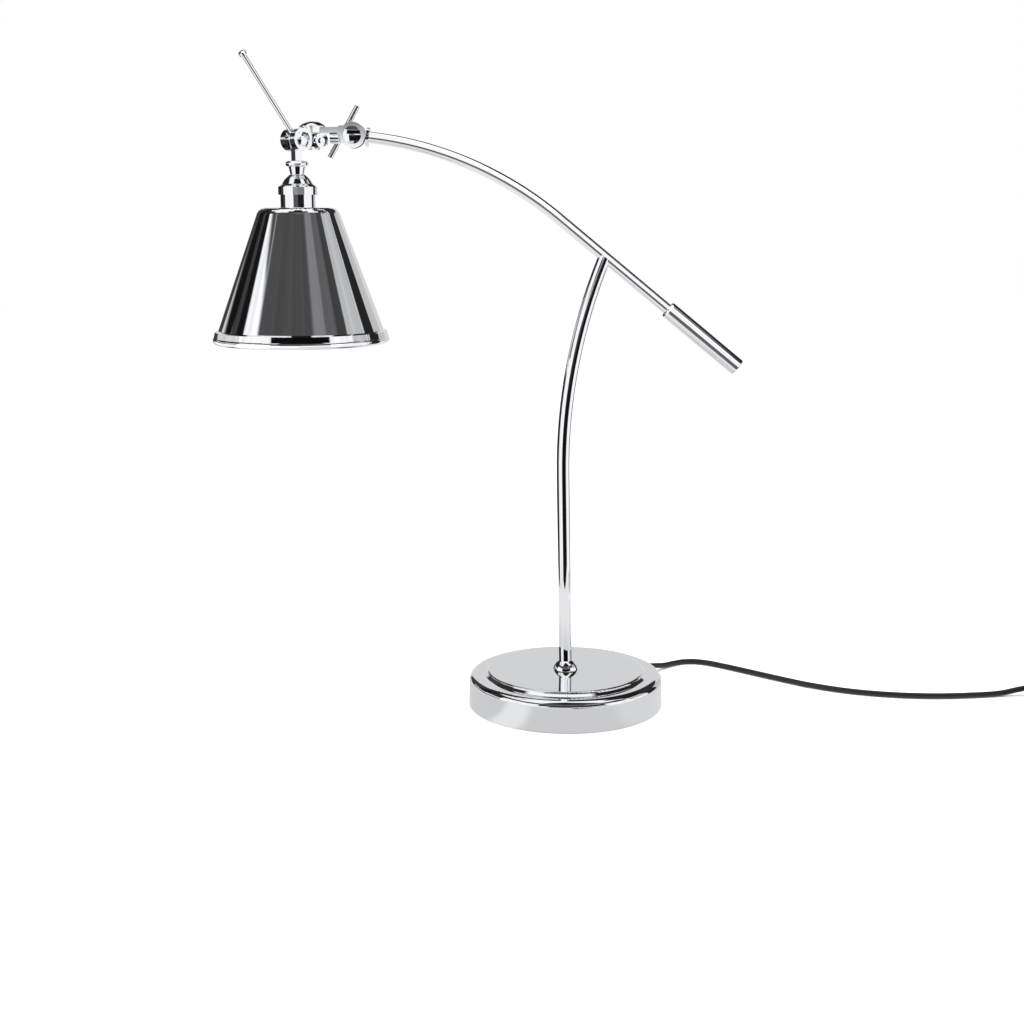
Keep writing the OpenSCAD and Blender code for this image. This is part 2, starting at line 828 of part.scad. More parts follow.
module holder_contact() {
    color(brass) at_head_axis() {
        bar_z(1.5, cap_foot + 0.5, cap_foot + 6);
        bar_z(4, cap_foot - 0.5, cap_foot + 0.5);
    }
}

module shade_ring() {
    color(white) at_head_axis()
        tube_z(ring_r, thread_r, shade_top - shade_wall - ring_h, shade_top - shade_wall - eps);
}

// Outline of the shade's outer face, r and height above the foot, moved in by the wall
module shade_outline(inset, foot) {
    steps = 8;
    slope = atan((shade_cone_r - shade_top_r) / (shade_h - band_h));
    corner = [
        for (i = [0:steps]) let (a = 90 - (90 - slope) * i / steps)
            [shade_top_r - shade_corner + (shade_corner - inset) * cos(a),
             shade_h - shade_corner + (shade_corner - inset) * sin(a)]
    ];
    drop = inset / 2;
    band_in = shade_rim_r - inset;
    polygon(concat([[0, foot], [0, shade_h - inset]], corner, [
        [shade_cone_r - inset, band_h - drop], [band_in - band_step, band_h - 1 - drop],
        [band_in - band_lean, hem_r + 1], [band_in - band_lean, foot]
    ]));
}

// Hollow hem rolled inwards along the shade's foot, open at its upper inner side
module shade_hem() {
    translate([shade_rim_r - hem_r, hem_r]) difference() {
        circle(r = hem_r, $fn = small_fn);
        circle(r = hem_r - shade_wall, $fn = small_fn);
        translate([-hem_r - 1, 0]) square([hem_r + 1, hem_r + 1]);
    }
}

module shade() {
    color(chrome) at_head_axis() translate([0, 0, shade_foot]) {
        rotate_extrude() difference() {
            shade_outline(0, hem_r);
            translate([0, -eps]) shade_outline(shade_wall, hem_r - 1);
            square([shade_hole, shade_h + 1]);
        }
        rotate_extrude() shade_hem();
    }
}

module bulb_globe() {
    neck_from = 18;
    color(white) at_head_axis() translate([0, 0, bulb_centre]) difference() {
        union() {
            sphere(r = bulb_r);
            translate([0, 0, neck_from])
                cylinder(r1 = 13.5, r2 = bulb_neck, h = bulb_seat - bulb_centre - neck_from);
        }
        sphere(r = bulb_r - glass_t);
    }
}

module bulb_cap() {
    color(steel) at_head_axis() {
        bar_z(bulb_cap_r, bulb_seat, cap_foot - 3);
        bar_z(3, cap_foot - 3, cap_foot - 0.5);
    }
}

// --- cord
// Sides of a ring about point p, square to direction t
function ring(p, t, r, sides) =
    let (side = cross(t, [0, 0, 1]) / norm(cross(t, [0, 0, 1])), up = cross(side, t))
    [for (i = [0:sides - 1]) let (a = 360 * i / sides) p + r * (cos(a) * side + sin(a) * up)];

function heading(route, i) =
    let (d = route[min(i + 1, len(route) - 1)] - route[max(i - 1, 0)]) d / norm(d);

module cord(route) {
    count = len(route);
    points = [for (i = [0:count - 1]) each ring(route[i], heading(route, i), cord_r, cord_sides)];
    walls = [
        for (i = [0:count - 2], k = [0:cord_sides - 1])
            let (a = i * cord_sides + k, b = i * cord_sides + (k + 1) % cord_sides)
            [a, a + cord_sides, b + cord_sides, b]
    ];
    ends = [
        [for (k = [0:cord_sides - 1]) k],
        [for (k = [0:cord_sides - 1]) count * cord_sides - 1 - k]
    ];
    color(black) polyhedron(points = points, faces = concat(walls, ends));
}

module cord_lead() { cord(lead_route); }
module cord_tail() { cord(tail_route); }
module cord_end() { cord(end_route); }

module cord_coil() {
    color(black) translate([coil_at[0], coil_at[1], 0.1]) rotate_extrude()
        translate([(coil_in + coil_out) / 2, coil_h / 2]) {
            square([coil_out - coil_in - coil_h, coil_h], center = true);
            for (side = [-1, 1])
                translate([side * (coil_out - coil_in - coil_h) / 2, 0]) circle(r = coil_h / 2, $fn = 32);
        }
}

// --- in-line rocker switch; x runs along the cord
module switch_outline(inset) {
    half = switch_l / 2 - inset;
    wide = switch_w / 2 - inset;
    square([2 * half - 12, 2 * wide], center = true);
    square([2 * half, 2 * wide - 12], center = true);
    for (x = [-1, 1], y = [-1, 1])
        translate([x * (half - 6), y * (wide - 6)]) circle(r = 6, $fn = small_fn);
}

module at_switch() {
    translate([switch_mid[0], switch_mid[1], 0]) children();
}

module switch_holes(r, a, b) {
    for (side = [-1, 1]) translate([side * (switch_l / 2 - 8), 0, 0]) bar_z(r, a, b);
}

module switch_base() {
    color(black) at_switch() difference() {
        linear_extrude(split_z) switch_outline(0);
        translate([0, 0, case_wall]) linear_extrude(split_z) square([36, switch_w - 2 * case_wall], center = true);
        switch_holes(1.3, -1, split_z + 1);
        switch_holes(2.4, -1, 2);
    }
}

module switch_cover() {
    color(black) at_switch() difference() {
        translate([0, 0, split_z]) linear_extrude(switch_h - split_z) switch_outline(0.4);
        translate([0, 0, split_z - 1]) linear_extrude(rocker_z - split_z - 1.6)
            square([36, switch_w - 2 * case_wall - 2], center = true);
        translate([0, 0, split_z]) linear_extrude(20)
            square([rocker_l + 2 * rocker_gap, rocker_w + 2 * rocker_gap], center = true);
        translate([0, 0, rocker_z - 2]) bar_along_y(rocker_pin, -rocker_w / 2 - 2.4, rocker_w / 2 + 2.4);
        switch_holes(1.3, split_z - 1, split_z + 5);
    }
}

module switch_rocker() {
    color(black) at_switch() translate([0, 0, rocker_z - 2]) rotate([0, rocker_tilt, 0]) difference() {
        intersection() {
            bar_along_y(rocker_l / 2, -rocker_w / 2, rocker_w / 2);
            translate([-rocker_l / 2, -rocker_w / 2, -3]) cube([rocker_l, rocker_w, 3 + rocker_r]);
        }
        bar_along_y(rocker_pin + run_gap, -rocker_w, rocker_w);
        translate([0, -rocker_w, rocker_r + 46]) rotate([-90, 0, 0]) cylinder(r = 46.9, h = 2 * rocker_w);
    }
}

module switch_pin() {
    color(steel) at_switch() translate([0, 0, rocker_z - 2])
        bar_along_y(rocker_pin, -rocker_w / 2 - 2.4, rocker_w / 2 + 2.4);
}

module switch_screws() {
    color(steel) at_switch() {
        switch_holes(1.3, 1, split_z + 5);
        switch_holes(2.4, 0.6, 2);
    }
}

// --- flat two-pin plug; x runs back along the cord
module plug_body() {
    color(black) translate([plug_at[0] - plug_l, plug_at[1], 0.1]) linear_extrude(plug_t) polygon([
        [0, -plug_w / 2 + 2], [2, -plug_w / 2], [12, -plug_w / 2], [20, -8], [plug_l, -4.5],
        [plug_l, 4.5], [20, 8], [12, plug_w / 2], [2, plug_w / 2], [0, plug_w / 2 - 2]
    ]);
}

module plug_pins() {
    color(brass) translate([plug_at[0] - plug_l, plug_at[1], plug_at[2]]) for (side = [-1, 1])
        translate([0, side * pin_gap / 2, 0]) {
            bar_x(pin_r, -pin_l + 1, 0);
            translate([-pin_l + 1, 0, 0]) rotate([0, -90, 0]) cap(pin_r, 1);
        }
}

base_cover();
base_weight();
base_felt();
stem_stud();
stud_washer();
stud_nut();
stem_collar();
stem_tube();
arm_tube();
counterweight();
ballast_screw();
arm_knuckle();
flex_stem();
flex_arm();
terminal_block();
terminal_screws();
cord_inner();
cord_bush();
bush_nut();
link_fork();
tilt_bolt();
tilt_nut();
tilt_washers();
swivel_bolt();
swivel_nut();
clamp_screw();
clamp_bar();
swivel_body();
lock_screw();
swivel_washer();
shade_neck();
knuckle_bolt();
knuckle_nut();
knuckle_washers();
handle_rod();
handle_cap();
holder_cap();
holder_skirt();
holder_insert();
holder_contact();
shade_ring();
shade();
bulb_globe();
bulb_cap();
cord_lead();
cord_tail();
cord_coil();
cord_end();
switch_base();
switch_cover();
switch_rocker();
switch_pin();
switch_screws();
plug_body();
plug_pins();
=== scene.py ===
"""Looks of the counterbalanced desk lamp: polished chrome, white enamel, black cord."""

import functools
import math

import bmesh
import bpy
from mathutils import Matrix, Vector


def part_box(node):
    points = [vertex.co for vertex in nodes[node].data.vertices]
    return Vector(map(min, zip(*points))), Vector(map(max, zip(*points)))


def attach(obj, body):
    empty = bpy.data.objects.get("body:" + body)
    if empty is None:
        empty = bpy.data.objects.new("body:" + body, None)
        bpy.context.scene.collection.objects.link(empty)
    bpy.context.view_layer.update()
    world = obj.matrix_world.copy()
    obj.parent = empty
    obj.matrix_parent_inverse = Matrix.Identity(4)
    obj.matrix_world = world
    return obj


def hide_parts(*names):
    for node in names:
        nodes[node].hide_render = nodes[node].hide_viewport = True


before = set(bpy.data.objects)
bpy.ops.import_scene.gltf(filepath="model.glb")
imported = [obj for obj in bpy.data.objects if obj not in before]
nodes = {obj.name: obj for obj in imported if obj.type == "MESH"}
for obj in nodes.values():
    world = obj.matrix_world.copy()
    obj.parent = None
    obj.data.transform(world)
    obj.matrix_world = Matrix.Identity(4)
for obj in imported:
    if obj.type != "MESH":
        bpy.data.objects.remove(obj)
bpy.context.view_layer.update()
scene = bpy.context.scene
MM = 0.001


# ---------------------------------------------------------------- helpers
def srgb(code):
    """sRGB hex to linear colour."""
    values = [int(code[i:i + 2], 16) / 255 for i in (1, 3, 5)]
    return [v / 12.92 if v <= 0.04045 else ((v + 0.055) / 1.055) ** 2.4 for v in values] + [1.0]


def add(tree, kind, settings=None, inputs=None):
    """Adds a node, sets its properties, and sets or links its inputs."""
    made = tree.nodes.new(kind)
    for key, value in (settings or {}).items():
        setattr(made, key, value)
    for key, value in (inputs or {}).items():
        if isinstance(value, bpy.types.NodeSocket):
            tree.links.new(value, made.inputs[key])
        else:
            made.inputs[key].default_value = value
    return made


def material(name):
    made = bpy.data.materials.new(name)
    made.use_nodes = True
    tree = made.node_tree
    tree.nodes.clear()
    return made, tree


def coat(tree, **inputs):
    """Ends a material in one surface shader; an underscore in a name stands for a space."""
    shader = add(tree, "ShaderNodeBsdfPrincipled", None,
                 {name.replace("_", " "): value for name, value in inputs.items()})
    add(tree, "ShaderNodeOutputMaterial", None, {"Surface": shader.outputs[0]})


def object_noise(tree, size_mm, detail=2.0, rough=0.5):
    """Noise from 0 to 1 with blobs about size_mm across, on Object coordinates in metres."""
    where = add(tree, "ShaderNodeTexCoord")
    return add(tree, "ShaderNodeTexNoise", None, {
        "Vector": where.outputs["Object"], "Scale": 1 / (size_mm * MM),
        "Detail": detail, "Roughness": rough}).outputs["Fac"]


def uneven(tree, noise, low, high):
    """A roughness that drifts between low and high with the noise."""
    return add(tree, "ShaderNodeMapRange", None, {
        "Value": noise, "From Min": 0.3, "From Max": 0.7,
        "To Min": low, "To Max": high}).outputs[0]


def bumps(tree, noise, strength, depth):
    """A bump from the noise, depth in metres."""
    return add(tree, "ShaderNodeBump", None, {
        "Height": noise, "Strength": strength, "Distance": depth}).outputs[0]


def two_tones(tree, noise, dark, light):
    return add(tree, "ShaderNodeMix", {"data_type": "RGBA"}, {
        0: noise, 6: srgb(dark), 7: srgb(light)}).outputs[2]


def maths(tree, kind, a, b=0.0):
    return add(tree, "ShaderNodeMath", {"operation": kind}, {0: a, 1: b}).outputs[0]


def edge(tree, value, at, soft):
    """Smooth step at a value: rising, or falling where soft is negative."""
    half = abs(soft)
    return add(tree, "ShaderNodeMapRange", {"interpolation_type": "SMOOTHSTEP"}, {
        "Value": value, "From Min": at - half, "From Max": at + half,
        "To Min": 0 if soft > 0 else 1, "To Max": 1 if soft > 0 else 0}).outputs[0]


def azimuth_of(tree, x, y):
    """Degrees about the upright axis: 0 towards the front, 90 at the lamp's right."""
    return maths(tree, "DEGREES", maths(tree, "ARCTAN2", x, maths(tree, "MULTIPLY", y, -1.0)))


def blend(tree, one, other, share):
    """The first level, going over into the other as the share goes from 0 to 1."""
    kept = maths(tree, "MULTIPLY", one, maths(tree, "SUBTRACT", 1.0, share))
    return maths(tree, "ADD", kept, maths(tree, "MULTIPLY", share, other))


# ---------------------------------------------------------------- finishes
def polished_chrome():
    """Bright chromium plate over polished steel tube and pressings: a near mirror, very
    slightly blue, with faint polishing haze that only shows as uneven gloss."""
    made, tree = material("polished_chrome_plate")
    gloss = uneven(tree, object_noise(tree, 18, 3.0), 0.02, 0.05)
    waves = bumps(tree, object_noise(tree, 35, 1.0), 0.02, 0.002)
    coat(tree, Base_Color=srgb("#EAEBEE"), Metallic=1.0, Roughness=gloss, Normal=waves)
    return made


def turned_metal(name, colour, grain_mm, smoothest, roughest):
    """Bare machined metal with the fine haze of its turning marks."""
    made, tree = material(name)
    grain = object_noise(tree, grain_mm, 3.0)
    coat(tree, Base_Color=srgb(colour), Metallic=1.0,
         Roughness=uneven(tree, grain, smoothest, roughest))
    return made


def cast_iron():
    """Sand-cast iron of the hidden weight: dark, dull and pitted."""
    made, tree = material("sand_cast_iron")
    grit = object_noise(tree, 1.5, 6.0, 0.7)
    pits = bumps(tree, grit, 0.6, 0.0006)
    coat(tree, Base_Color=two_tones(tree, grit, "#2B2C2E", "#4A4A4C"), Metallic=0.6,
         Roughness=0.75, Normal=pits)
    return made


def base_felt():
    """Pressed wool felt under the base: dark green, matt, with short fibres."""
    made, tree = material("pressed_wool_felt")
    fibre = object_noise(tree, 0.6, 5.0, 0.8)
    nap = bumps(tree, fibre, 0.8, 0.0004)
    coat(tree, Base_Color=two_tones(tree, fibre, "#1D2A21", "#34463A"), Roughness=1.0,
         Sheen_Weight=0.3, Sheen_Roughness=0.5, Normal=nap)
    return made


def white_enamel():
    """Sprayed white enamel inside the shade: bright, softly glossy, slight orange peel."""
    made, tree = material("sprayed_white_enamel")
    peel = bumps(tree, object_noise(tree, 1.6, 2.0), 0.08, 0.0005)
    coat(tree, Base_Color=srgb("#F6F5F1"), Roughness=0.3, Normal=peel)
    return made


def moulded_plastic(name, dark, light, roughness):
    """Injection-moulded plastic with a fine spark-eroded grain."""
    made, tree = material(name)
    grain = bumps(tree, object_noise(tree, 0.5, 3.0), 0.15, 0.0002)
    blotch = object_noise(tree, 14, 2.0)
    coat(tree, Base_Color=two_tones(tree, blotch, dark, light), Roughness=roughness,
         Normal=grain)
    return made


def cord_jacket():
    """Black PVC jacket of the round mains cord: satin, a little uneven in its gloss."""
    made, tree = material("black_pvc_jacket")
    mottle = object_noise(tree, 9, 3.0)
    coat(tree, Base_Color=srgb("#161617"), Roughness=uneven(tree, mottle, 0.38, 0.52))
    return made


def opal_glass():
    """Opal glass bulb: milky white, smooth and glossy."""
    made, tree = material("opal_bulb_glass")
    cloud = object_noise(tree, 12, 2.0)
    coat(tree, Base_Color=two_tones(tree, cloud, "#F1F0EC", "#FBFAF7"), Roughness=0.12,
         Subsurface_Weight=0.2, Subsurface_Radius=[0.004, 0.004, 0.004])
    return made


CHROME = polished_chrome()
# Zinc-plated turned steel of the hidden fasteners: greyer than the chrome
STEEL = turned_metal("zinc_plated_steel", "#B9BCC0", 1.2, 0.22, 0.36)
# Machined brass of contacts, pins and nuts: warm and softly bright
BRASS = turned_metal("machined_brass", "#D8B56A", 0.9, 0.2, 0.34)
IRON = cast_iron()
FELT = base_felt()
ENAMEL = white_enamel()
WHITE_PLASTIC = moulded_plastic("white_thermoset", "#E4E2DC", "#F0EEE8", 0.35)
BLACK_PLASTIC = moulded_plastic("black_moulded_abs", "#121213", "#1C1C1E", 0.42)
JACKET = cord_jacket()
OPAL = opal_glass()

FINISH = {
    CHROME: """base_cover stem_collar stem_tube arm_tube counterweight arm_knuckle link_fork
        tilt_bolt tilt_nut clamp_screw clamp_bar swivel_bolt swivel_nut swivel_body lock_screw
        shade_neck knuckle_bolt knuckle_nut handle_rod handle_cap holder_cap holder_skirt shade""",
    STEEL: """stem_stud stud_washer ballast_screw tilt_washers swivel_washer knuckle_washers
        bulb_cap switch_pin switch_screws""",
    BRASS: "stud_nut terminal_screws holder_contact plug_pins",
    IRON: "base_weight",
    FELT: "base_felt",
    WHITE_PLASTIC: "terminal_block flex_stem flex_arm holder_insert shade_ring",
    BLACK_PLASTIC: "bush_nut cord_bush switch_base switch_cover switch_rocker plug_body",
    JACKET: "cord_inner cord_lead cord_tail cord_end cord_coil",
    OPAL: "bulb_globe",
}
for finish, names in FINISH.items():
    for name in names.split():
        nodes[name].data.materials.clear()
        nodes[name].data.materials.append(finish)


# ---------------------------------------------------------------- shade lining
HEM_HEIGHT = 20 * MM


def line_shade():
    """White enamel on the shade's inner wall: every face that looks at the axis, and the
    underside of the flat top, which looks down from well above the hem."""
    mesh = nodes["shade"].data
    mesh.materials.append(ENAMEL)
    low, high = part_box("shade")
    axis = (low + high) / 2
    for face in mesh.polygons:
        out = Vector((face.center.x - axis.x, face.center.y - axis.y, 0))
        outward = face.normal.dot(out.normalized()) if out.length > 1e-6 else 0
        under_top = face.normal.z < -0.9 and face.center.z > low.z + HEM_HEIGHT
        if outward < -0.2 or under_top:
            face.material_index = 1


line_shade()

# ---------------------------------------------------------------- mains cord
# The route in millimetres: from the base to the switch, through it, and on to the coil
LEAD = [
    (79, 79, 9), (84, 84, 9), (94, 95, 6.5), (104, 106, 3.6), (115, 115.5, 2.8),
    (126, 121, 2.8), (138, 121, 2.8), (150, 116, 2.8), (162, 107, 2.8), (174, 97, 2.8),
    (185, 87.5, 2.8), (196, 78, 2.8), (208, 67.5, 2.8), (221, 56.5, 2.8), (234, 46, 2.8),
    (247, 37.5, 2.8), (262, 29, 2.8), (278, 22, 2.8), (295, 16.5, 2.8), (313, 12.5, 2.8),
    (331, 10, 2.8), (350, 9, 2.8), (368, 9.5, 2.8), (386, 11.5, 2.8), (403, 14, 2.8),
    (418, 16.5, 3.6), (431, 18, 6), (442, 18, 8), (450, 18, 8)]
IN_SWITCH = [(470, 18, 8), (492, 18, 8)]
TAIL = [
    (512, 18, 8), (519, 17.9, 7.7), (528, 15.9, 5.7), (536, 11.2, 3.8), (541.8, 3.8, 2.9),
    (545, -5.4, 2.8), (545.8, -16, 2.8), (544.6, -27.5, 2.8)]
# From the coil into the plug
END = [
    (516.8, -84.4, 7.6), (508.4, -86, 7.1), (499, -86.3, 6.9), (490, -85, 6.9), (481, -83.3, 7),
    (474, -82.3, 7), (468, -82, 7)]
CORD_D = 5.4
LYING = 2.8             # height of the cord's middle where it lies on the table
COIL_AT = (505, -45)
COIL_R = 26.7           # middle of the innermost turn
COIL_START = 10.7       # degrees, where the tail comes in
TURNED_FROM, TURNED_TO, TURNED_STEP = 6, 1876, 15       # degrees wound since its start
LEAVES_AT = 56          # degrees of the last turn, from where it widens towards the plug


def ease(t):
    """From 0 to 1, starting and ending softly."""
    t = min(1, max(0, t))
    return (1 - math.cos(math.pi * t)) / 2


def coil_turns():
    """A little over five turns: two laid inwards on the table, a third that climbs on to
    them at its end, and the rest laid outwards on top."""
    points = []
    for turned in range(TURNED_FROM, TURNED_TO, TURNED_STEP):
        turn, part = divmod(turned, 360)
        late, early = ease((part - 210) / 150), ease((part - 60) / 150)
        # place counts cord diameters out from the innermost turn
        place, height, widening = 2, LYING + CORD_D, 0
        if turn < 2:
            place, height = 2 - turn - late, LYING
        elif turn == 2:
            place, height = 0, LYING + CORD_D * math.sqrt(late * (2 - late))
        elif turn < 5:
            place = turn - 3 + early
        elif part > LEAVES_AT:
            widening = 1.3 * ((part - LEAVES_AT) / 17) ** 1.5
        radius = COIL_R + CORD_D * place + widening
        angle = math.radians(COIL_START - turned)
        points.append((COIL_AT[0] + radius * math.cos(angle),
                       COIL_AT[1] + radius * math.sin(angle), height))
    return points


def make_cord():
    line = LEAD + IN_SWITCH + TAIL + coil_turns() + END
    curve = bpy.data.curves.new("mains_cord", "CURVE")
    curve.dimensions = "3D"
    curve.bevel_depth = CORD_D / 2 * MM
    curve.bevel_resolution = 6
    curve.resolution_u = 6
    curve.use_fill_caps = True
    spline = curve.splines.new("BEZIER")
    spline.bezier_points.add(len(line) - 1)
    for point, spot in zip(spline.bezier_points, line):
        point.co = Vector(spot) * MM
        point.handle_left_type = point.handle_right_type = "AUTO"
    curve.materials.append(JACKET)
    made = bpy.data.objects.new("mains_cord", curve)
    scene.collection.objects.link(made)
    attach(made, "base")
    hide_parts("cord_lead", "cord_tail", "cord_coil", "cord_end")


make_cord()

# ---------------------------------------------------------------- camera
CAMERA_AT = Vector((-50.16, -1350, 447.40)) * MM
LENS, SENSOR = 52.65, 36        # millimetres
LOOKS_DOWN = 11.114             # degrees


def make_camera():
    data = bpy.data.cameras.new("camera")
    data.sensor_width = SENSOR
    data.lens = LENS
    data.clip_start, data.clip_end = 0.05, 60
    made = bpy.data.objects.new("camera", data)
    scene.collection.objects.link(made)
    made.location = CAMERA_AT
    made.rotation_euler = (math.radians(90 - LOOKS_DOWN), 0, 0)
    scene.camera = made


make_camera()

# ---------------------------------------------------------------- table
RAYS = ("camera", "glossy", "diffuse", "transmission", "shadow", "volume_scatter")
TABLE_BOX = (-6, -6, 6, 6)                      # metres: x and y from, x and y to
TABLE_MIRRORED_BOX = (-0.42, -0.45, 0.42, 2.4)
PAINTED_SHADE_BESIDE_BASE, OPEN_TABLE = 0.71, 0.94            # levels that metal mirrors: painted shade beside the base, and the open table
PAINTED_LIGHT_LEFT, PAINTED_LIGHT_RIGHT = 0.23, 0.08        # painted light added to the level beside the base
LEFT_FROM, LEFT_TO, RIGHT_FROM = -54, -31, 40   # azimuths about the base
SHADED_TO = 0.24                                # metres from the base's middle


def table_plane(name, box, finish, seen_by):
    """A flat rectangle of table; seen_by lists the kinds of ray that meet it."""
    x0, y0, x1, y1 = box
    shape = bmesh.new()
    corners = [(x0, y0, 0), (x1, y0, 0), (x1, y1, 0), (x0, y1, 0)]
    shape.faces.new([shape.verts.new(corner) for corner in corners])
    mesh = bpy.data.meshes.new(name)
    shape.to_mesh(mesh)
    shape.free()
    mesh.materials.append(finish)
    made = bpy.data.objects.new(name, mesh)
    scene.collection.objects.link(made)
    for ray in RAYS:
        setattr(made, "visible_" + ray, ray in seen_by)


def white_laminate():
    """Matt white laminate table."""
    made, tree = material("white_laminate_table")
    speck = object_noise(tree, 60, 2.0)
    coat(tree, Base_Color=two_tones(tree, speck, "#F4F4F3", "#F7F7F6"), Roughness=0.9,
         Specular_IOR_Level=0.1)
    return made


def mirrored_table():
    """The table as polished metal mirrors it: a glowing stand-in that only mirror rays meet, with
    painted shade beside the base, which shades it, and painted light at the base's left and right."""
    made, tree = material("table_reflection_painted_shade")
    calc = functools.partial(maths, tree)
    where = add(tree, "ShaderNodeSeparateXYZ", None, {
        0: add(tree, "ShaderNodeTexCoord").outputs["Object"]})
    x, y = where.outputs[0], where.outputs[1]
    far = calc("SQRT", calc("ADD", calc("MULTIPLY", x, x), calc("MULTIPLY", y, y)))
    turn = azimuth_of(tree, x, y)
    left = calc("MULTIPLY", edge(tree, turn, LEFT_FROM, 5), edge(tree, turn, LEFT_TO, -5))
    right = edge(tree, turn, RIGHT_FROM, 8)
    # Painted shade beside the base, lightened by painted light at its left and right
    near = calc("ADD", PAINTED_SHADE_BESIDE_BASE, calc("ADD", calc("MULTIPLY", left, PAINTED_LIGHT_LEFT),
                                         calc("MULTIPLY", right, PAINTED_LIGHT_RIGHT)))
    level = blend(tree, near, OPEN_TABLE, edge(tree, far, SHADED_TO, 0.09))
    shader = add(tree, "ShaderNodeEmission", None, {"Color": level, "Strength": 1.0})
    add(tree, "ShaderNodeOutputMaterial", None, {"Surface": shader.outputs[0]})
    return made


table_plane("table", TABLE_BOX, white_laminate(), ("camera", "diffuse", "shadow", "transmission"))
table_plane("table_mirrored", TABLE_MIRRORED_BOX, mirrored_table(), ("glossy",))

# ---------------------------------------------------------------- world
# A white studio whose dark gaps show only in mirror-like surfaces. Each gap is
# (azimuth from, azimuth to, elevation from, elevation to, level), and a later one covers an
# earlier one.
GAPS = [
    # Low in front, which undersides, the handle, the arm's middle line and the stem mirror
    (-40, 60, -90, -30, 0.75),
    (4, 48, -46, -29, 0.02),
    (-22, 48, -30, 1.9, 0.008),
    (-18, 8, -4, 1.9, 0.1),
    (-20, 8, 3.0, 6.5, 0.2),
    # Right
    (110, 132, -40, 45, 0.02),
    (132, 152, -5, 30, 0.6),
    # Left
    (-158, -84, -40, 48, 0.05),
    (-128, -108, -40, 48, 0.008),
    (-98, -86, 9, 48, 0.008),
    (-137, -108, 3.5, 10.5, 0.75),
    (-110, -84, 4, 15.5, 0.8),
    # High behind and at the right, which the upper edges of the arm and its weight mirror
    (-181, -128, 36, 60, 0.03),
    (88, 181, 34, 66, 0.015),
    (116, 181, 21, 40, 0.03),
    (68, 108, 37.5, 42, 0.02),
    # High in front, which high_front_light makes white for all but the pieces in DARK_ABOVE
    (-86, -60, 30.5, 48, 0.08),
    (-60, 80, 28, 48, 0.08),
    (26, 46, 26, 48, 0.24),
    (46, 64, 26, 48, 0.12),
    (64, 80, 26, 48, 0.055),
    (80, 109, 12, 35, 0.6),
    (-34, 46, 6.5, 27, 0.004),
    (-36, 50, 48, 91, 0.015),
]
WALLS = 1.12                    # level of the white between the gaps
DARKER_BEHIND = 0.38            # taken from it low behind, so that flat tops mirror a grey
BEHIND_FROM, BEHIND_UP_TO = 140, 34             # degrees off the front, and up
FOLD_WIDTH, FOLD_HEIGHT = 11.0, 45.0            # degrees
FOLD_CONTRAST = 0.9
FOLDS_UP_TO = 128                               # degrees off the front


def inside_gap(tree, azimuth, elevation, a0, a1, e0, e1):
    """1 inside the gap and 0 outside, with soft edges. They are sharpest on the narrow bands
    just above the horizon."""
    side = 3 if e0 > 20 else 1.5
    lower = 3 if e0 <= 2 else 0.6 if e0 <= 3 else 1
    upper = 0.6 if e1 < 7 else 2
    across = maths(tree, "MULTIPLY", edge(tree, azimuth, a0, side), edge(tree, azimuth, a1, -side))
    above = maths(tree, "MULTIPLY", across, edge(tree, elevation, e0, lower))
    return maths(tree, "MULTIPLY", above, edge(tree, elevation, e1, -upper))


def make_world():
    world = bpy.data.worlds.new("studio")
    scene.world = world
    world.use_nodes = True
    tree = world.node_tree
    tree.nodes.clear()
    calc = functools.partial(maths, tree)

    way = add(tree, "ShaderNodeSeparateXYZ", None, {
        0: add(tree, "ShaderNodeTexCoord").outputs["Generated"]})
    azimuth = azimuth_of(tree, way.outputs[0], way.outputs[1])
    elevation = calc("DEGREES", calc("ARCSINE", way.outputs[2]))
    off_front = calc("ABSOLUTE", azimuth)

    back = calc("MULTIPLY", edge(tree, off_front, BEHIND_FROM, 20),
                edge(tree, elevation, BEHIND_UP_TO, -8))
    level = calc("SUBTRACT", WALLS, calc("MULTIPLY", back, DARKER_BEHIND))
    for a0, a1, e0, e1, dark in GAPS:
        inside = inside_gap(tree, azimuth, elevation, a0, a1, e0, e1)
        level = blend(tree, level, dark, inside)

    # Upright streaks all round but behind, as folds in the cloths of a studio give
    folds = add(tree, "ShaderNodeTexNoise", None, {
        "Vector": add(tree, "ShaderNodeCombineXYZ", None, {
            0: calc("DIVIDE", azimuth, FOLD_WIDTH),
            1: calc("DIVIDE", elevation, FOLD_HEIGHT)}).outputs[0],
        "Scale": 1.0, "Detail": 3.0, "Roughness": 0.6}).outputs["Fac"]
    streak = calc("MULTIPLY", calc("MULTIPLY", calc("SUBTRACT", folds, 0.5), FOLD_CONTRAST),
                  edge(tree, off_front, FOLDS_UP_TO, -8))
    level = calc("MULTIPLY", level, calc("ADD", 1.0, streak))

    mirrored = add(tree, "ShaderNodeBackground", None, {"Color": level, "Strength": 1.0})
    plain = add(tree, "ShaderNodeBackground", None, {"Color": [1, 1, 1, 1], "Strength": 1.0})
    both = add(tree, "ShaderNodeMixShader", None, {
        0: add(tree, "ShaderNodeLightPath").outputs["Is Glossy Ray"],
        1: plain.outputs[0], 2: mirrored.outputs[0]})
    add(tree, "ShaderNodeOutputWorld", None, {"Surface": both.outputs[0]})


make_world()


# ---------------------------------------------------------------- lights
def softbox(name, place, target, size, power):
    """A rectangular light that mirrors don't see."""
    data = bpy.data.lights.new(name, "AREA")
    data.shape = "RECTANGLE"
    data.size, data.size_y = size
    data.energy = power
    made = bpy.data.objects.new(name, data)
    scene.collection.objects.link(made)
    made.location = place
    made.rotation_euler = (Vector(target) - Vector(place)).to_track_quat("-Z", "Y").to_euler()
    made.visible_glossy = False
    return made


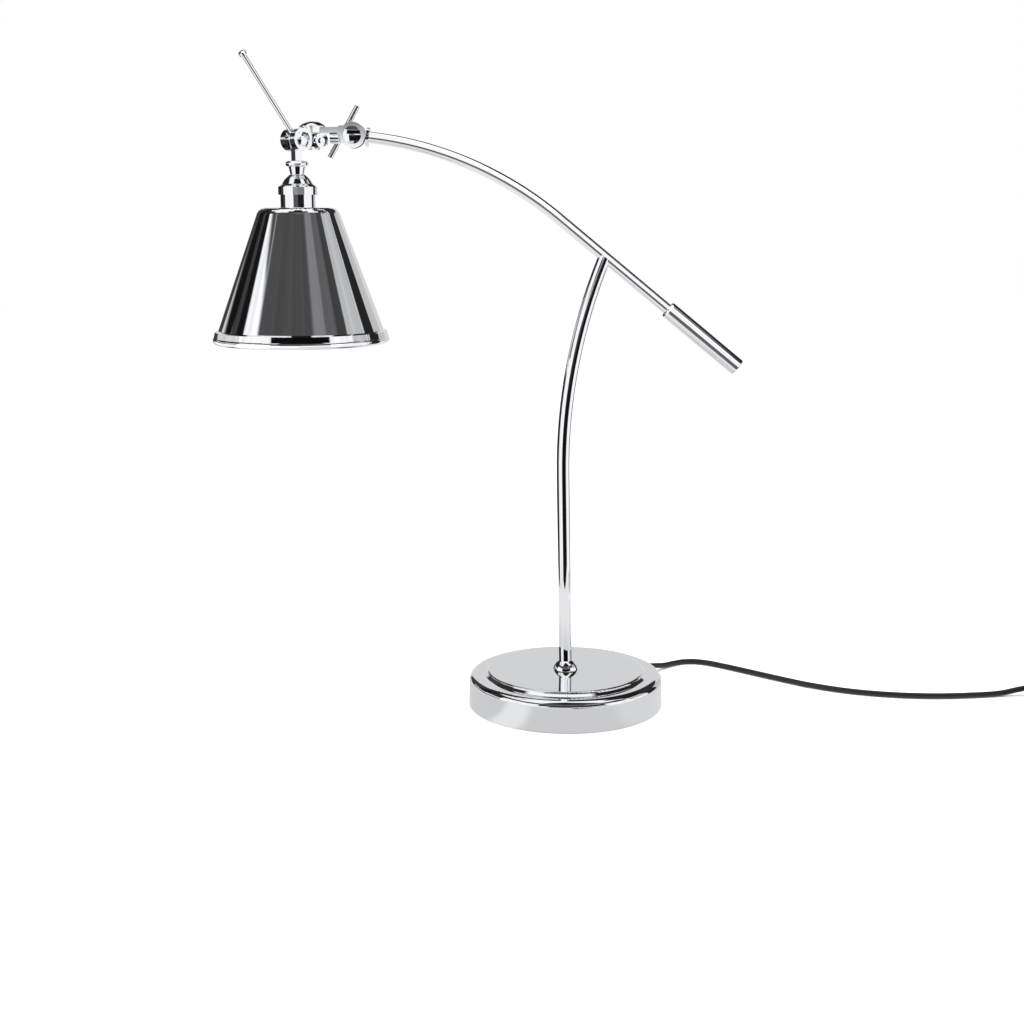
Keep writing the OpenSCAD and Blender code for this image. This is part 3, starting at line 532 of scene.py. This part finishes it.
def wide_sun(name, azimuth, elevation, width, power):
    """A round patch of the sky, width degrees across."""
    data = bpy.data.lights.new(name, "SUN")
    data.angle = math.radians(width)
    data.energy = power
    made = bpy.data.objects.new(name, data)
    scene.collection.objects.link(made)
    turn, up = math.radians(azimuth), math.radians(elevation)
    came_from = Vector((math.sin(turn) * math.cos(up), -math.cos(turn) * math.cos(up),
                        math.sin(up)))
    made.rotation_euler = came_from.to_track_quat("Z", "Y").to_euler()
    return made


def only_for(light, pieces):
    """Light linking: the light reaches these pieces and no other."""
    reached = bpy.data.collections.new(light.name + "_reaches")
    for piece in pieces:
        reached.objects.link(nodes[piece])
    light.light_linking.receiver_collection = reached
    light.visible_diffuse = light.visible_camera = False


softbox("top_softbox", (0.0, -0.4, 2.6), (0, 0.3, 0), (2.6, 2.6), 60)
# The whole ceiling lights the table evenly, far behind the lamp too
wide_sun("ceiling_light", 0, 90, 120, 0.5).visible_glossy = False

# High in front is white for most pieces, and dark for these
DARK_ABOVE = """shade base_cover stem_collar holder_cap arm_knuckle tilt_bolt lock_screw
    handle_rod clamp_bar""".split()
WHITE_ABOVE = [name for name in nodes if name not in DARK_ABOVE]
# Low in front is dark grey, not black, for the arm and its weight, and grey for the
# lampholder's cap and the swivel
for name, azimuth, elevation, width, power, pieces in (
        ("high_front_light", 0, 48, 88, 1.62, WHITE_ABOVE),
        ("arm_light", -5, -14, 60, 0.1, ["arm_tube", "counterweight"]),
        ("cap_light", 14, 0, 80, 0.3, ["holder_cap"]),
        ("swivel_light", -4, 8, 64, 0.45, ["swivel_body"])):
    only_for(wide_sun(name, azimuth, elevation, width, power), pieces)

# Low in front and at the left is white for the shade, whose hem mirrors it
HEM_LEVEL = 1.07
for name, place, target, size in (
        ("low_front_light", (-0.2, -0.5, 0.19), (-0.2, 0, 0.19), (1.6, 0.36)),
        ("low_left_light", (-0.62, -0.05, 0.17), (0, -0.05, 0.17), (1.1, 0.3))):
    low_light = softbox(name, place, target, size, HEM_LEVEL * math.pi * size[0] * size[1])
    low_light.visible_glossy = True
    only_for(low_light, ["shade"])

scene.view_settings.view_transform = "Standard"
scene.view_settings.look = "None"
